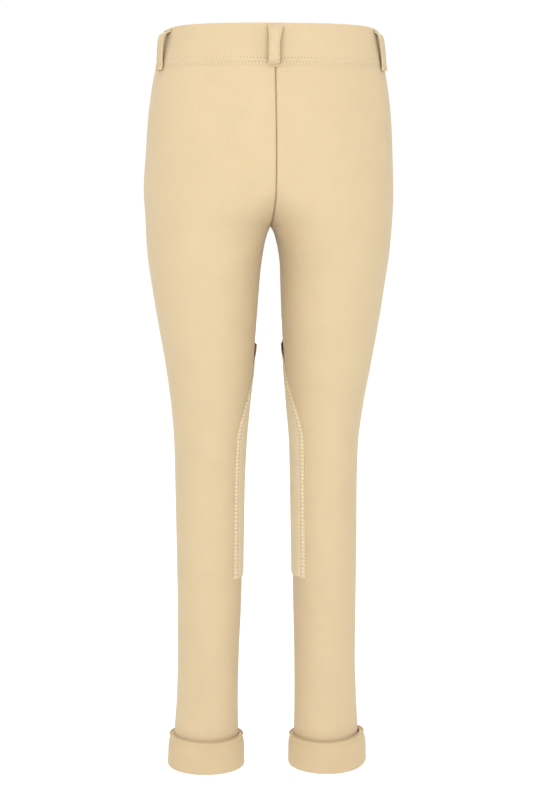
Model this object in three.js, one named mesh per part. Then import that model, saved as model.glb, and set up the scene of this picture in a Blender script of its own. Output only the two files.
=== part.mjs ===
// Riding breeches with turned-up hems, filled out as when worn. Millimetres, +Z up, the back towards -Y.
// The origin is the centre of the waist, at half the waistband's height. Left is -X, as seen from behind.
import * as THREE from "three";

// Cloth and seams
const CLOTH = 1.6; // wall of a single layer of stretch twill
const SEAM_GAP = 0.3;
const BAND_CLOTH = 2.6; // the waistband is folded double
const BAND_PROUD = 0.6; // how far the waistband stands out of the panels under it

// Heights
const BAND_TOP = 25;
const BAND_BACK_RISE = 2; // the band is cut higher at the centre back
const BAND_SEAM = -24;
const CROTCH = -226;
const HEM = -936; // where the leg turns outwards into the turn-up

// The seat and front seams come down into the crotch as rounded Us of these heights
const SEAT_CURVE = 110;
const FRONT_CURVE = 74;
// and there the ring of each leg widens past the centre plane by this much for each millimetre of height
const CROTCH_SPREAD = 0.37;
// Below the crotch the outer part of the section turns into a leg over this height
const THIGH_EASE = 70;

// Sections of the garment from the waist down. left_outer to right_outer are distances from the centre plane,
// back and front the Y of the section's rearmost and foremost points. The inner columns start at the crotch.
const SECTIONS = [
  { z: 27, left_outer: 133.5, right_outer: 137.8, back: -94, front: 98 },
  { z: -24, left_outer: 145.8, right_outer: 147.6, back: -103, front: 103 },
  { z: -52, left_outer: 151.2, right_outer: 152.2, back: -109, front: 105 },
  { z: -90, left_outer: 156.1, right_outer: 155.9, back: -116, front: 105 },
  { z: -129, left_outer: 159, right_outer: 157.4, back: -121, front: 104 },
  { z: -180, left_outer: 162.2, right_outer: 158.6, back: -121, front: 100 },
  { z: -226, left_outer: 159.9, left_inner: 0, right_inner: 0, right_outer: 157.1, back: -110, front: 90 },
  { z: -238, left_outer: 159.6, left_inner: 4.4, right_inner: 6.2, right_outer: 156.3, back: -107, front: 88.5 },
  { z: -257, left_outer: 158.4, left_inner: 8.5, right_inner: 11, right_outer: 155.1, back: -102, front: 87 },
  { z: -276, left_outer: 156.4, left_inner: 11.3, right_inner: 13.5, right_outer: 152.9, back: -97.5, front: 86 },
  { z: -303, left_outer: 152.4, left_inner: 13.8, right_inner: 14.4, right_outer: 149.2, back: -92, front: 84.5 },
  { z: -355, left_outer: 144.1, left_inner: 17.4, right_inner: 16.6, right_outer: 141.8, back: -82, front: 81 },
  { z: -408, left_outer: 135.2, left_inner: 21.3, right_inner: 20.1, right_outer: 132.8, back: -72, front: 76 },
  { z: -460, left_outer: 128.3, left_inner: 27, right_inner: 24.3, right_outer: 123.4, back: -63, front: 70 },
  { z: -513, left_outer: 124.5, left_inner: 31.8, right_inner: 28.4, right_outer: 116.9, back: -57, front: 62 },
  { z: -566, left_outer: 123.6, left_inner: 34.5, right_inner: 29.3, right_outer: 115.1, back: -57.5, front: 54 },
  { z: -644, left_outer: 122.5, left_inner: 36.2, right_inner: 30.2, right_outer: 114.4, back: -62, front: 48 },
  { z: -711, left_outer: 121.6, left_inner: 37.6, right_inner: 31, right_outer: 113.7, back: -60, front: 44 },
  { z: -793, left_outer: 121.7, left_inner: 41.1, right_inner: 32.9, right_outer: 113.4, back: -53, front: 41 },
  { z: -847, left_outer: 123.2, left_inner: 42.2, right_inner: 33.3, right_outer: 115.4, back: -49, front: 40 },
  { z: -890, left_outer: 126.2, left_inner: 41.8, right_inner: 32.9, right_outer: 117.6, back: -47, front: 40 },
  { z: -945, left_outer: 128.2, left_inner: 41.2, right_inner: 32, right_outer: 119, back: -47, front: 41 },
];
// 1 makes the hips an ellipse, less makes them squarer
const HIP_ROUNDNESS = 0.87;

// Grid of each leg panel
const PANEL_COLUMNS = 12;
const ROWS_OVER_CROTCH = 10;
const ROWS_UNDER_CROTCH = 7;
const UNDER_CROTCH_REACH = 90;
const ROW_STEP = 38; // along the straight parts
const SEAM_CROWDING = 3; // how strongly the columns close up towards the seat seam just over the crotch
const MITRE_LIMIT = 0.6; // a wall's inner edge moves no further sideways at a seam than this allows

// Waistband and its lap, which closes right over left
const BAND_COLUMNS = 56;
const LAP_END_X = -6;
const UNDERLAP_END_X = 26;
const LAP_RISE_X = 46; // the upper end starts to lift over the under end here

// Fly flap
const FLY_WIDTH_X = 34;
const FLY_BOTTOM = -150;
const FLY_CURVE = 34; // height of the J curve
const FLY_TIP = 4; // width left at the bottom of the J
const FLY_CLEAR = 0.4; // between the flap and the panels
const FLY_ROWS = 10;
const FLY_COLUMNS = 5;

// Waist button
const BUTTON_RADIUS = 8.5;
const BUTTON_THICK = 2.4;
const BUTTON_X = 9;
const BUTTON_HOLE_RADIUS = 0.9;
const BUTTON_HOLE_PITCH = 1.7;
const BUTTON_BEVEL = 0.6;
const BUTTON_CLEAR = 0.6; // the band's own curve takes up a third of a millimetre of it

// Belt loops: turns are measured round the waist from the centre back, positive to the right
const LOOPS = [
  { name: "loop_centre_back", turn: 0 },
  { name: "loop_side_left", turn: -72 },
  { name: "loop_side_right", turn: 72 },
  { name: "loop_front_left", turn: -148 },
  { name: "loop_front_right", turn: 148 },
];
const LOOP_WIDTH = 15;
const LOOP_CLOTH = 2.2;
const LOOP_BOW = 5.2;
const LOOP_LEAN = 0.6; // how much more a loop bows over its middle than under it
const LOOP_TOP = 23.6;
const LOOP_BOTTOM = -29.5;
const LOOP_STEPS = 16;
const LOOP_SEATED = 0.07; // share of its length that lies on the band at each end
const LOOP_SQUARENESS = 3; // 2 bows a loop as an ellipse, more makes it straighter between its ends
const LOOP_FOLD = 1.4; // the end turned under makes the foot this much thicker

// Knee patches on the inner leg. Angles are measured round the leg from the inseam, positive to the back
const PATCH_CLOTH = 1.4;
const PATCH_CLEAR = 0.65;
const PATCH_TOP = -380;
const PATCH_FRONT_RISE = 30; // the top edge climbs by this much towards the front
const PATCH_BOTTOM = -682;
const PATCH_BACK_ANGLE = 46;
const PATCH_FRONT_ANGLE = -64;
const PATCH_CURVE = 125; // height over which the back edge swings out to its full angle
const PATCH_COLUMNS = 9;
const PATCH_ROWS = 14;

// Turn-ups: how far each stands out of the leg, how much more on the outer side, its rim, how much higher the rim
// and the fold are at the outside, and the depth of the fold under the hem line
const TURN_UPS = [
  {
    side: -1,
    name: "turn_up_left",
    stand_off: 6.9,
    lean: 0,
    rim: -896,
    outer_rise: 1,
    fold_rise: 0.5,
    fold: 4,
  },
  {
    side: 1,
    name: "turn_up_right",
    stand_off: 8,
    lean: 1.8,
    rim: -899,
    outer_rise: 4.5,
    fold_rise: 4,
    fold: 6,
  },
];
const TURN_UP_COLUMNS = 26;
// Section of a turn-up, out from the leg: out is a share of the stand-off, up the height over the hem line as a
// share of the turn-up's height, fold a share of its fold's depth, thick the cloth there. The rim is rolled.
const TURN_UP_SECTION = [
  { out: 0, up: 0, fold: 0, thick: 1.6 },
  { out: 0.04, up: 0, fold: 0.57, thick: 1.6 },
  { out: 0.28, up: 0, fold: 1, thick: 1.6 },
  { out: 0.68, up: 0, fold: 1, thick: 1.7 },
  { out: 0.97, up: 0, fold: 0.5, thick: 1.8 },
  { out: 1, up: 0.1, fold: 0, thick: 1.8 },
  { out: 0.93, up: 0.48, fold: 0, thick: 1.8 },
  { out: 0.88, up: 0.76, fold: 0, thick: 2 },
  { out: 0.92, up: 0.91, fold: 0, thick: 3.8 },
  { out: 0.92, up: 1, fold: 0, thick: 3 },
];

const BEIGE = 0xead2a8;
const twill = new THREE.MeshStandardMaterial({ color: BEIGE, roughness: 0.92, metalness: 0 });
const horn = new THREE.MeshStandardMaterial({ color: 0xc9ad7e, roughness: 0.4, metalness: 0 });

const clamp = (v) => Math.min(1, Math.max(0, v));
const smooth = (v) => clamp(v) ** 2 * (3 - 2 * clamp(v));
const power = (v, e) => Math.sign(v) * Math.abs(v) ** e;
const radians = (degrees) => (degrees * Math.PI) / 180;

// One column of SECTIONS at height z: a cubic through its rows that never overshoots them.
function sectionValue(column, z) {
  const rows = SECTIONS.filter((row) => column in row);
  const last = rows.length - 1;
  let i = 0;
  while (i < last - 1 && z < rows[i + 1].z) i += 1;
  const slope = (k) => (rows[k + 1][column] - rows[k][column]) / (rows[k + 1].z - rows[k].z);
  const tangent = (k) => {
    if (k === 0) return slope(0);
    if (k === last) return slope(last - 1);
    const a = slope(k - 1);
    const b = slope(k);
    return a * b <= 0 ? 0 : (2 * a * b) / (a + b);
  };
  const h = rows[i + 1].z - rows[i].z;
  const s = (z - rows[i].z) / h;
  return (
    (2 * s ** 3 - 3 * s ** 2 + 1) * rows[i][column] +
    (s ** 3 - 2 * s ** 2 + s) * h * tangent(i) +
    (3 * s ** 2 - 2 * s ** 3) * rows[i + 1][column] +
    (s ** 3 - s ** 2) * h * tangent(i + 1)
  );
}

// The section at height z on one side (-1 left, 1 right) and in one half (-1 back, 1 front). Over the crotch
// the ring of the leg widens past the centre plane, so inner is below 0 there, until it is the ring of the hips.
function sectionAt(side, half, z) {
  const name = side < 0 ? "left" : "right";
  const back = sectionValue("back", z);
  const front = sectionValue("front", z);
  const outer = sectionValue(name + "_outer", z);
  const middle = (back + front) / 2;
  const curve = half < 0 ? SEAT_CURVE : FRONT_CURVE;
  const s = clamp((z - CROTCH) / curve);
  const past = outer * smooth(s) + CROTCH_SPREAD * curve * (s ** 3 - 2 * s ** 2 + s);
  const inner = z < CROTCH ? sectionValue(name + "_inner", z) : -past;
  return {
    centre: (outer + inner) / 2,
    width: (outer - inner) / 2,
    middle,
    depth: half < 0 ? middle - back : front - middle,
    roundness: 1 + (HIP_ROUNDNESS - 1) * smooth((z - CROTCH + THIGH_EASE) / (curve + THIGH_EASE)),
  };
}

// A point of a panel's outside: t runs from the outer seam (0) to the seat seam or inseam (1). Over the crotch
// the seat seam cuts the ring short, and the columns close up towards it.
function panelPoint(side, half, t, z) {
  const s = sectionAt(side, half, z);
  const end = z > CROTCH ? Math.acos(-((Math.max(0, s.centre) / s.width) ** (1 / s.roundness))) : Math.PI;
  const cut = 1 - end / Math.PI;
  const angle = Math.PI * (t - cut * t ** (1 + SEAM_CROWDING * (1 - 2 * cut) ** 2));
  return new THREE.Vector3(
    side * (s.centre + s.width * power(Math.cos(angle), s.roundness)),
    s.middle + half * s.depth * power(Math.sin(angle), s.roundness),
    z,
  );
}

// How far outside a panel's surface a point is: 0 on it, from the equation of its ring.
function outside(side, half, p, z) {
  const s = sectionAt(side, half, z);
  const across = Math.abs((side * p.x - s.centre) / s.width);
  const along = Math.abs((p.y - s.middle) / s.depth);
  return across ** (2 / s.roundness) + along ** (2 / s.roundness);
}

// The outward normal of a panel. Along a seam it stays in the seam's plane, so that the two walls meet evenly.
function panelNormal(side, half, t, z) {
  const p = panelPoint(side, half, t, z);
  const step = 0.05;
  const change = (dx, dy, dz) =>
    outside(side, half, { x: p.x + dx, y: p.y + dy }, z + dz) -
    outside(side, half, { x: p.x - dx, y: p.y - dy }, z - dz);
  const n = new THREE.Vector3(change(step, 0, 0), change(0, step, 0), change(0, 0, step)).normalize();
  const flat = n.clone();
  if (t === 1 && z >= CROTCH) flat.setX(0);
  if (t === 0 || (t === 1 && z <= CROTCH)) flat.setY(0);
  flat.normalize();
  return flat.multiplyScalar(1 / Math.max(MITRE_LIMIT, flat.dot(n)));
}

// Heights of the panel rows, closest at the crotch.
function panelRows() {
  const top = BAND_SEAM - SEAM_GAP;
  const curveTop = CROTCH + SEAT_CURVE;
  const rows = [];
  const over = Math.ceil((top - curveTop) / ROW_STEP);
  for (let i = 0; i < over; i += 1) rows.push(top + ((curveTop - top) * i) / over);
  for (let i = ROWS_OVER_CROTCH; i > 0; i -= 1) rows.push(CROTCH + SEAT_CURVE * (i / ROWS_OVER_CROTCH) ** 2);
  for (let i = 0; i < ROWS_UNDER_CROTCH; i += 1)
    rows.push(CROTCH - UNDER_CROTCH_REACH * (i / ROWS_UNDER_CROTCH) ** 2);
  const legTop = CROTCH - UNDER_CROTCH_REACH;
  const bottom = HEM + SEAM_GAP;
  const under = Math.round((legTop - bottom) / ROW_STEP);
  for (let i = 0; i <= under; i += 1) rows.push(legTop + ((bottom - legTop) * i) / under);
  return rows;
}

// A geometry from a list of points and a list of triangles, turned so that its faces point out.
function solid(points, triangles) {
  let volume = 0;
  for (const [a, b, c] of triangles)
    volume += points[a].dot(new THREE.Vector3().crossVectors(points[b], points[c]));
  const faces = volume < 0 ? triangles.map(([a, b, c]) => [a, c, b]) : triangles;
  const geometry = new THREE.BufferGeometry();
  geometry.setAttribute("position", new THREE.Float32BufferAttribute(points.flatMap((p) => p.toArray()), 3));
  geometry.setIndex(faces.flat());
  geometry.computeVertexNormals();
  return geometry;
}

// A closed wall between two grids of points that have the same rows and columns.
function wall(outer, inner) {
  const rows = outer.length;
  const columns = outer[0].length;
  const count = rows * columns;
  const at = (layer, r, c) => layer * count + r * columns + c;
  const triangles = [];
  const quad = (a, b, c, d) => triangles.push([a, b, c], [a, c, d]);
  for (let r = 0; r < rows - 1; r += 1)
    for (let c = 0; c < columns - 1; c += 1) {
      quad(at(0, r, c), at(0, r + 1, c), at(0, r + 1, c + 1), at(0, r, c + 1));
      quad(at(1, r, c), at(1, r, c + 1), at(1, r + 1, c + 1), at(1, r + 1, c));
    }
  for (let r = 0; r < rows - 1; r += 1) {
    quad(at(0, r, 0), at(1, r, 0), at(1, r + 1, 0), at(0, r + 1, 0));
    quad(at(0, r, columns - 1), at(0, r + 1, columns - 1), at(1, r + 1, columns - 1), at(1, r, columns - 1));
  }
  for (let c = 0; c < columns - 1; c += 1) {
    quad(at(0, 0, c), at(0, 0, c + 1), at(1, 0, c + 1), at(1, 0, c));
    quad(at(0, rows - 1, c), at(1, rows - 1, c), at(1, rows - 1, c + 1), at(0, rows - 1, c + 1));
  }
  return solid([...outer.flat(), ...inner.flat()], triangles);
}

// A closed ring: sections that are closed outlines, one after the other round a circle.
function ring(sections) {
  const n = sections.length;
  const m = sections[0].length;
  const triangles = [];
  for (let i = 0; i < n; i += 1)
    for (let k = 0; k < m; k += 1) {
      const a = i * m + k;
      const b = i * m + ((k + 1) % m);
      const c = ((i + 1) % n) * m + ((k + 1) % m);
      const d = ((i + 1) % n) * m + k;
      triangles.push([a, b, c], [a, c, d]);
    }
  return solid(sections.flat(), triangles);
}

const group = new THREE.Group();
function add(name, geometry, material = twill) {
  const mesh = new THREE.Mesh(geometry, material);
  mesh.name = name;
  group.add(mesh);
  return mesh;
}

// Leg panels. Each edge keeps half a seam's gap to its neighbour's.
function panel(side, half) {
  const outer = [];
  const inner = [];
  for (const z of panelRows()) {
    const outerRow = [];
    const innerRow = [];
    for (let i = 0; i <= PANEL_COLUMNS; i += 1) {
      const t = i / PANEL_COLUMNS;
      const p = panelPoint(side, half, t, z);
      if (i === 0 || (i === PANEL_COLUMNS && z <= CROTCH)) p.y += (half * SEAM_GAP) / 2;
      if (i === PANEL_COLUMNS && z >= CROTCH) p.x += (side * SEAM_GAP) / 2;
      outerRow.push(p);
      innerRow.push(p.clone().addScaledVector(panelNormal(side, half, t, z), -CLOTH));
    }
    outer.push(outerRow);
    inner.push(innerRow);
  }
  return wall(outer, inner);
}
add("back_left", panel(-1, -1));
add("back_right", panel(1, -1));
add("front_left", panel(-1, 1));
add("front_right", panel(1, 1));

// A point of the waist's outline at a turn in degrees from the centre back, moved out by a distance.
function waistPoint(turn, z, out) {
  const side = Math.sin(radians(turn)) < 0 ? -1 : 1;
  const half = Math.cos(radians(turn)) < 0 ? 1 : -1;
  const s = sectionAt(side, half, z);
  const x = s.width * power(Math.sin(radians(turn)), HIP_ROUNDNESS);
  const y = s.depth * power(-Math.cos(radians(turn)), HIP_ROUNDNESS);
  const squareness = 2 / HIP_ROUNDNESS - 1;
  const n = new THREE.Vector3(
    power(x / s.width, squareness) / s.width,
    power(y / s.depth, squareness) / s.depth,
    0,
  ).normalize();
  return new THREE.Vector3(x, s.middle + y, z).addScaledVector(n, out);
}

// The turn at which the front passes a given X, at height z.
function frontTurn(x, z = 0) {
  const s = sectionAt(x < 0 ? -1 : 1, 1, z);
  return 180 - (Math.asin(power(x / s.width, 1 / HIP_ROUNDNESS)) * 180) / Math.PI;
}

// How far the upper end of the waistband is lifted over the under end.
function lapLift(turn) {
  const start = frontTurn(LAP_RISE_X);
  const full = frontTurn(UNDERLAP_END_X + 3);
  return (BAND_CLOTH + SEAM_GAP) * smooth((turn - start) / (full - start));
}

function waistband() {
  const first = frontTurn(UNDERLAP_END_X) - 360;
  const lastTurn = frontTurn(LAP_END_X);
  const outer = [];
  const inner = [];
  for (const up of [0, 0.5, 1]) {
    const outerRow = [];
    const innerRow = [];
    for (let i = 0; i <= BAND_COLUMNS; i += 1) {
      const turn = first + ((lastTurn - first) * i) / BAND_COLUMNS;
      const rise = BAND_BACK_RISE * Math.max(0, Math.cos(radians(turn)));
      const z = BAND_SEAM + (BAND_TOP + rise - BAND_SEAM) * up;
      const lift = lapLift(turn);
      outerRow.push(waistPoint(turn, z, BAND_PROUD + lift));
      innerRow.push(waistPoint(turn, z, BAND_PROUD + lift - BAND_CLOTH));
    }
    outer.push(outerRow);
    inner.push(innerRow);
  }
  return wall(outer, inner);
}
add("waistband", waistband());

// Fly flap: a J-shaped layer over the top of the centre front seam.
function flyFlap() {
  const top = BAND_SEAM - SEAM_GAP;
  const outer = [];
  const inner = [];
  for (let r = 0; r <= FLY_ROWS; r += 1) {
    const outerRow = [];
    const innerRow = [];
    const z = FLY_BOTTOM + (top - FLY_BOTTOM) * (r / FLY_ROWS) ** 1.5;
    const curve = clamp((z - FLY_BOTTOM) / FLY_CURVE);
    const width = FLY_TIP + (FLY_WIDTH_X - LAP_END_X - FLY_TIP) * Math.sqrt(1 - (1 - curve) ** 2);
    for (let c = 0; c <= FLY_COLUMNS; c += 1) {
      const turn = frontTurn(LAP_END_X + (width * c) / FLY_COLUMNS, z);
      outerRow.push(waistPoint(turn, z, FLY_CLEAR + CLOTH));
      innerRow.push(waistPoint(turn, z, FLY_CLEAR));
    }
    outer.push(outerRow);
    inner.push(innerRow);
  }
  return wall(outer, inner);
}
add("fly_flap", flyFlap());

// Waist button: a disc with four holes on the upper end of the waistband.
function waistButton() {
  const chamfer = BUTTON_BEVEL / 2;
  const disc = new THREE.Shape();
  disc.absarc(0, 0, BUTTON_RADIUS - chamfer, 0, 2 * Math.PI);
  for (const [x, y] of [
    [-1, -1],
    [1, -1],
    [1, 1],
    [-1, 1],
  ]) {
    const hole = new THREE.Path();
    const radius = BUTTON_HOLE_RADIUS + chamfer;
    hole.absarc(x * BUTTON_HOLE_PITCH, y * BUTTON_HOLE_PITCH, radius, 0, 2 * Math.PI, true);
    disc.holes.push(hole);
  }
  const geometry = new THREE.ExtrudeGeometry(disc, {
    depth: BUTTON_THICK - 2 * BUTTON_BEVEL,
    bevelSize: chamfer,
    bevelThickness: BUTTON_BEVEL,
    bevelSegments: 1,
    curveSegments: 8,
  });
  geometry.translate(0, 0, BUTTON_BEVEL);
  return geometry;
}
const button = add("waist_button", waistButton(), horn);
const buttonTurn = frontTurn(BUTTON_X);
const seat = waistPoint(buttonTurn, 0, BAND_PROUD + lapLift(buttonTurn));
const seatUp = waistPoint(buttonTurn, 8, BAND_PROUD + lapLift(buttonTurn)).sub(seat).normalize();
const seatOut = waistPoint(buttonTurn, 0, 50).sub(waistPoint(buttonTurn, 0, 0)).normalize();
const seatAcross = new THREE.Vector3().crossVectors(seatUp, seatOut).normalize();
seatOut.crossVectors(seatAcross, seatUp);
const buttonPlace = new THREE.Matrix4().makeBasis(seatAcross, seatUp, seatOut);
button.quaternion.setFromRotationMatrix(buttonPlace);
button.position.copy(seat).addScaledVector(seatOut, BUTTON_CLEAR);

// Belt loops: a flat band that leaves the waistband near its top edge, bows out and tucks in under the seam.
function loop(turn) {
  const out = waistPoint(turn, 0, 1).sub(waistPoint(turn, 0, 0)).normalize();
  const across = new THREE.Vector3(-out.y, out.x, 0);
  const seatOff = BAND_PROUD + SEAM_GAP;
  const outer = [];
  const inner = [];
  for (let i = 0; i <= LOOP_STEPS; i += 1) {
    const v = i / LOOP_STEPS;
    const z = LOOP_TOP + (LOOP_BOTTOM - LOOP_TOP) * v;
    const inside = clamp((v - LOOP_SEATED) / (1 - 2 * LOOP_SEATED));
    const arch = Math.sqrt(1 - Math.abs(2 * inside - 1) ** LOOP_SQUARENESS);
    const bow = LOOP_BOW * arch * (1 + LOOP_LEAN * (0.5 - inside));
    const centre = waistPoint(turn, z, seatOff + bow);
    const rise = waistPoint(turn, z + 1, 0).sub(waistPoint(turn, z - 1, 0)).normalize();
    const thick = LOOP_CLOTH * (v > 1 - LOOP_SEATED ? LOOP_FOLD : 1);
    const away = new THREE.Vector3().crossVectors(across, rise).normalize().multiplyScalar(thick);
    if (away.dot(out) < 0) away.negate();
    const ends = [-LOOP_WIDTH / 2, LOOP_WIDTH / 2];
    inner.push(ends.map((u) => centre.clone().addScaledVector(across, u)));
    outer.push(ends.map((u) => centre.clone().addScaledVector(across, u).add(away)));
  }
  return wall(outer, inner);
}
for (const { name, turn } of LOOPS) add(name, loop(turn));

// A point of a leg's outline at an angle in degrees from the inseam, positive to the back, moved out.
function legPoint(side, angle, z, out) {
  const half = angle > 0 ? -1 : 1;
  const s = sectionAt(side, half, z);
  const a = radians(Math.abs(angle));
  const n = new THREE.Vector3((-side * Math.cos(a)) / s.width, (half * Math.sin(a)) / s.depth, 0).normalize();
  return new THREE.Vector3(
    side * (s.centre - s.width * Math.cos(a)),
    s.middle + half * s.depth * Math.sin(a),
    z,
  ).addScaledVector(n, out);
}

// Knee patches: a layer on the inner leg, from the back edge round the inseam to the front edge.
function kneePatch(side) {
  const outer = [];
  const inner = [];
  for (let r = 0; r <= PATCH_ROWS; r += 1) {
    const outerRow = [];
    const innerRow = [];
    const down = r / PATCH_ROWS;
    for (let c = 0; c <= PATCH_COLUMNS; c += 1) {
      const across = c / PATCH_COLUMNS;
      const top = PATCH_TOP + PATCH_FRONT_RISE * smooth(across);
      const z = top + (PATCH_BOTTOM - top) * down;
      const level = PATCH_TOP + (PATCH_BOTTOM - PATCH_TOP) * down;
      const back = PATCH_BACK_ANGLE * smooth((PATCH_TOP - level) / PATCH_CURVE);
      const angle = back + (PATCH_FRONT_ANGLE - back) * across;
      outerRow.push(legPoint(side, angle, z, PATCH_CLEAR + PATCH_CLOTH));
      innerRow.push(legPoint(side, angle, z, PATCH_CLEAR));
    }
    outer.push(outerRow);
    inner.push(innerRow);
  }
  return wall(outer, inner);
}
add("knee_patch_left", kneePatch(-1));
add("knee_patch_right", kneePatch(1));

// Turn-ups: the section's middle line is thickened both ways into a closed outline, once for each column.
function turnUp({ side, stand_off, lean, rim, outer_rise, fold_rise, fold }) {
  const sections = [];
  for (let i = 0; i < TURN_UP_COLUMNS; i += 1) {
    const angle = -180 + (360 * (i + 0.5)) / TURN_UP_COLUMNS;
    const outward = -Math.cos(radians(angle));
    const reach = stand_off + lean * outward + CLOTH / 2;
    const outside = clamp(outward) ** 2;
    const height = rim + outer_rise * outside - HEM;
    const line = TURN_UP_SECTION.map((row) => ({
      out: reach * row.out - CLOTH / 2,
      z: HEM - fold * row.fold + fold_rise * outside * row.out ** 2 * (1 - row.up) + height * row.up,
      thick: row.thick,
    }));
    const sides = [[], []];
    line.forEach((p, k) => {
      const a = line[Math.max(0, k - 1)];
      const b = line[Math.min(line.length - 1, k + 1)];
      const length = Math.hypot(b.out - a.out, b.z - a.z);
      const nx = -(b.z - a.z) / length;
      const nz = (b.out - a.out) / length;
      for (const way of [0, 1]) {
        const d = ((way ? -1 : 1) * p.thick) / 2;
        sides[way].push(legPoint(side, angle, HEM, 0).setZ(p.z + nz * d));
        const foot = legPoint(side, angle, HEM, p.out + nx * d);
        sides[way].at(-1).setX(foot.x).setY(foot.y);
      }
    });
    sections.push([...sides[0], ...sides[1].reverse()]);
  }
  return ring(sections);
}
for (const cuff of TURN_UPS) add(cuff.name, turnUp(cuff));

export default group;
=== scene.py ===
"""Riding breeches in pale beige stretch twill, filled out as when worn and seen from behind.

The CAD solids give each piece's place. Every piece of cloth is made again here with a finer surface, its sewing
and its twill. All sizes are in metres, +Z up, with the origin at the centre of the waist and the back at -Y.
"""
import math

import bpy
import numpy as np
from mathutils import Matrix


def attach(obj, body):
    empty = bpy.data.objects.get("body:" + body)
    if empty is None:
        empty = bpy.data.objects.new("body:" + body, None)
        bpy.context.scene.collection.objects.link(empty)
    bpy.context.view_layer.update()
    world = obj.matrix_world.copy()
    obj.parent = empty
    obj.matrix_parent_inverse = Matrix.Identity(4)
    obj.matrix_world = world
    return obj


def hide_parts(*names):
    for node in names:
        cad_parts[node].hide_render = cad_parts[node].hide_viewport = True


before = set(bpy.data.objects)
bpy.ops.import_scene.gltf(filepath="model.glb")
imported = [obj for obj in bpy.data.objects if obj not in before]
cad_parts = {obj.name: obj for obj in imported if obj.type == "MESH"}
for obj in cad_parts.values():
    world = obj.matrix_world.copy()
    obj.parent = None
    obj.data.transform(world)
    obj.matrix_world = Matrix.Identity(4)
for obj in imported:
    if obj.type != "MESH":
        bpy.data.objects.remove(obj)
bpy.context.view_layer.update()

# Leg panels: two backs and two fronts of stretch twill, cut to the leg and joined at the outer seams, inseams,
# seat and front. Each is one layer of cloth whose edges roll in at the seams, with a few shallow creases.
MM = 0.001
CLOTH = 1.6 * MM
SEAM_GAP = 0.3 * MM
SEAM_HALF_GAP = 0.01 * MM  # sewn edges meet here, so that no light comes through a seam
BAND_SEAM = -24 * MM
CROTCH = -226 * MM
HEM = -936 * MM
SEAT_CURVE = 110 * MM
FRONT_CURVE = 74 * MM
CROTCH_SPREAD = 0.37
THIGH_EASE = 70 * MM
HIP_ROUNDNESS = 0.87
SEAM_CROWDING = 3
NO_LEG = np.nan
SECTION_COLUMNS = ("z", "left_outer", "left_inner", "right_inner", "right_outer", "back", "front")
SECTIONS = MM * np.array(
    [
        (27, 133.5, NO_LEG, NO_LEG, 137.8, -94, 98),
        (-24, 145.8, NO_LEG, NO_LEG, 147.6, -103, 103),
        (-52, 151.2, NO_LEG, NO_LEG, 152.2, -109, 105),
        (-90, 156.1, NO_LEG, NO_LEG, 155.9, -116, 105),
        (-129, 159, NO_LEG, NO_LEG, 157.4, -121, 104),
        (-180, 162.2, NO_LEG, NO_LEG, 158.6, -121, 100),
        (-226, 159.9, 0, 0, 157.1, -110, 90),
        (-238, 159.6, 4.4, 6.2, 156.3, -107, 88.5),
        (-257, 158.4, 8.5, 11, 155.1, -102, 87),
        (-276, 156.4, 11.3, 13.5, 152.9, -97.5, 86),
        (-303, 152.4, 13.8, 14.4, 149.2, -92, 84.5),
        (-355, 144.1, 17.4, 16.6, 141.8, -82, 81),
        (-408, 135.2, 21.3, 20.1, 132.8, -72, 76),
        (-460, 128.3, 27, 24.3, 123.4, -63, 70),
        (-513, 124.5, 31.8, 28.4, 116.9, -57, 62),
        (-566, 123.6, 34.5, 29.3, 115.1, -57.5, 54),
        (-644, 122.5, 36.2, 30.2, 114.4, -62, 48),
        (-711, 121.6, 37.6, 31, 113.7, -60, 44),
        (-793, 121.7, 41.1, 32.9, 113.4, -53, 41),
        (-847, 123.2, 42.2, 33.3, 115.4, -49, 40),
        (-890, 126.2, 41.8, 32.9, 117.6, -47, 40),
        (-945, 128.2, 41.2, 32, 119, -47, 41),
    ]
)
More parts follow.
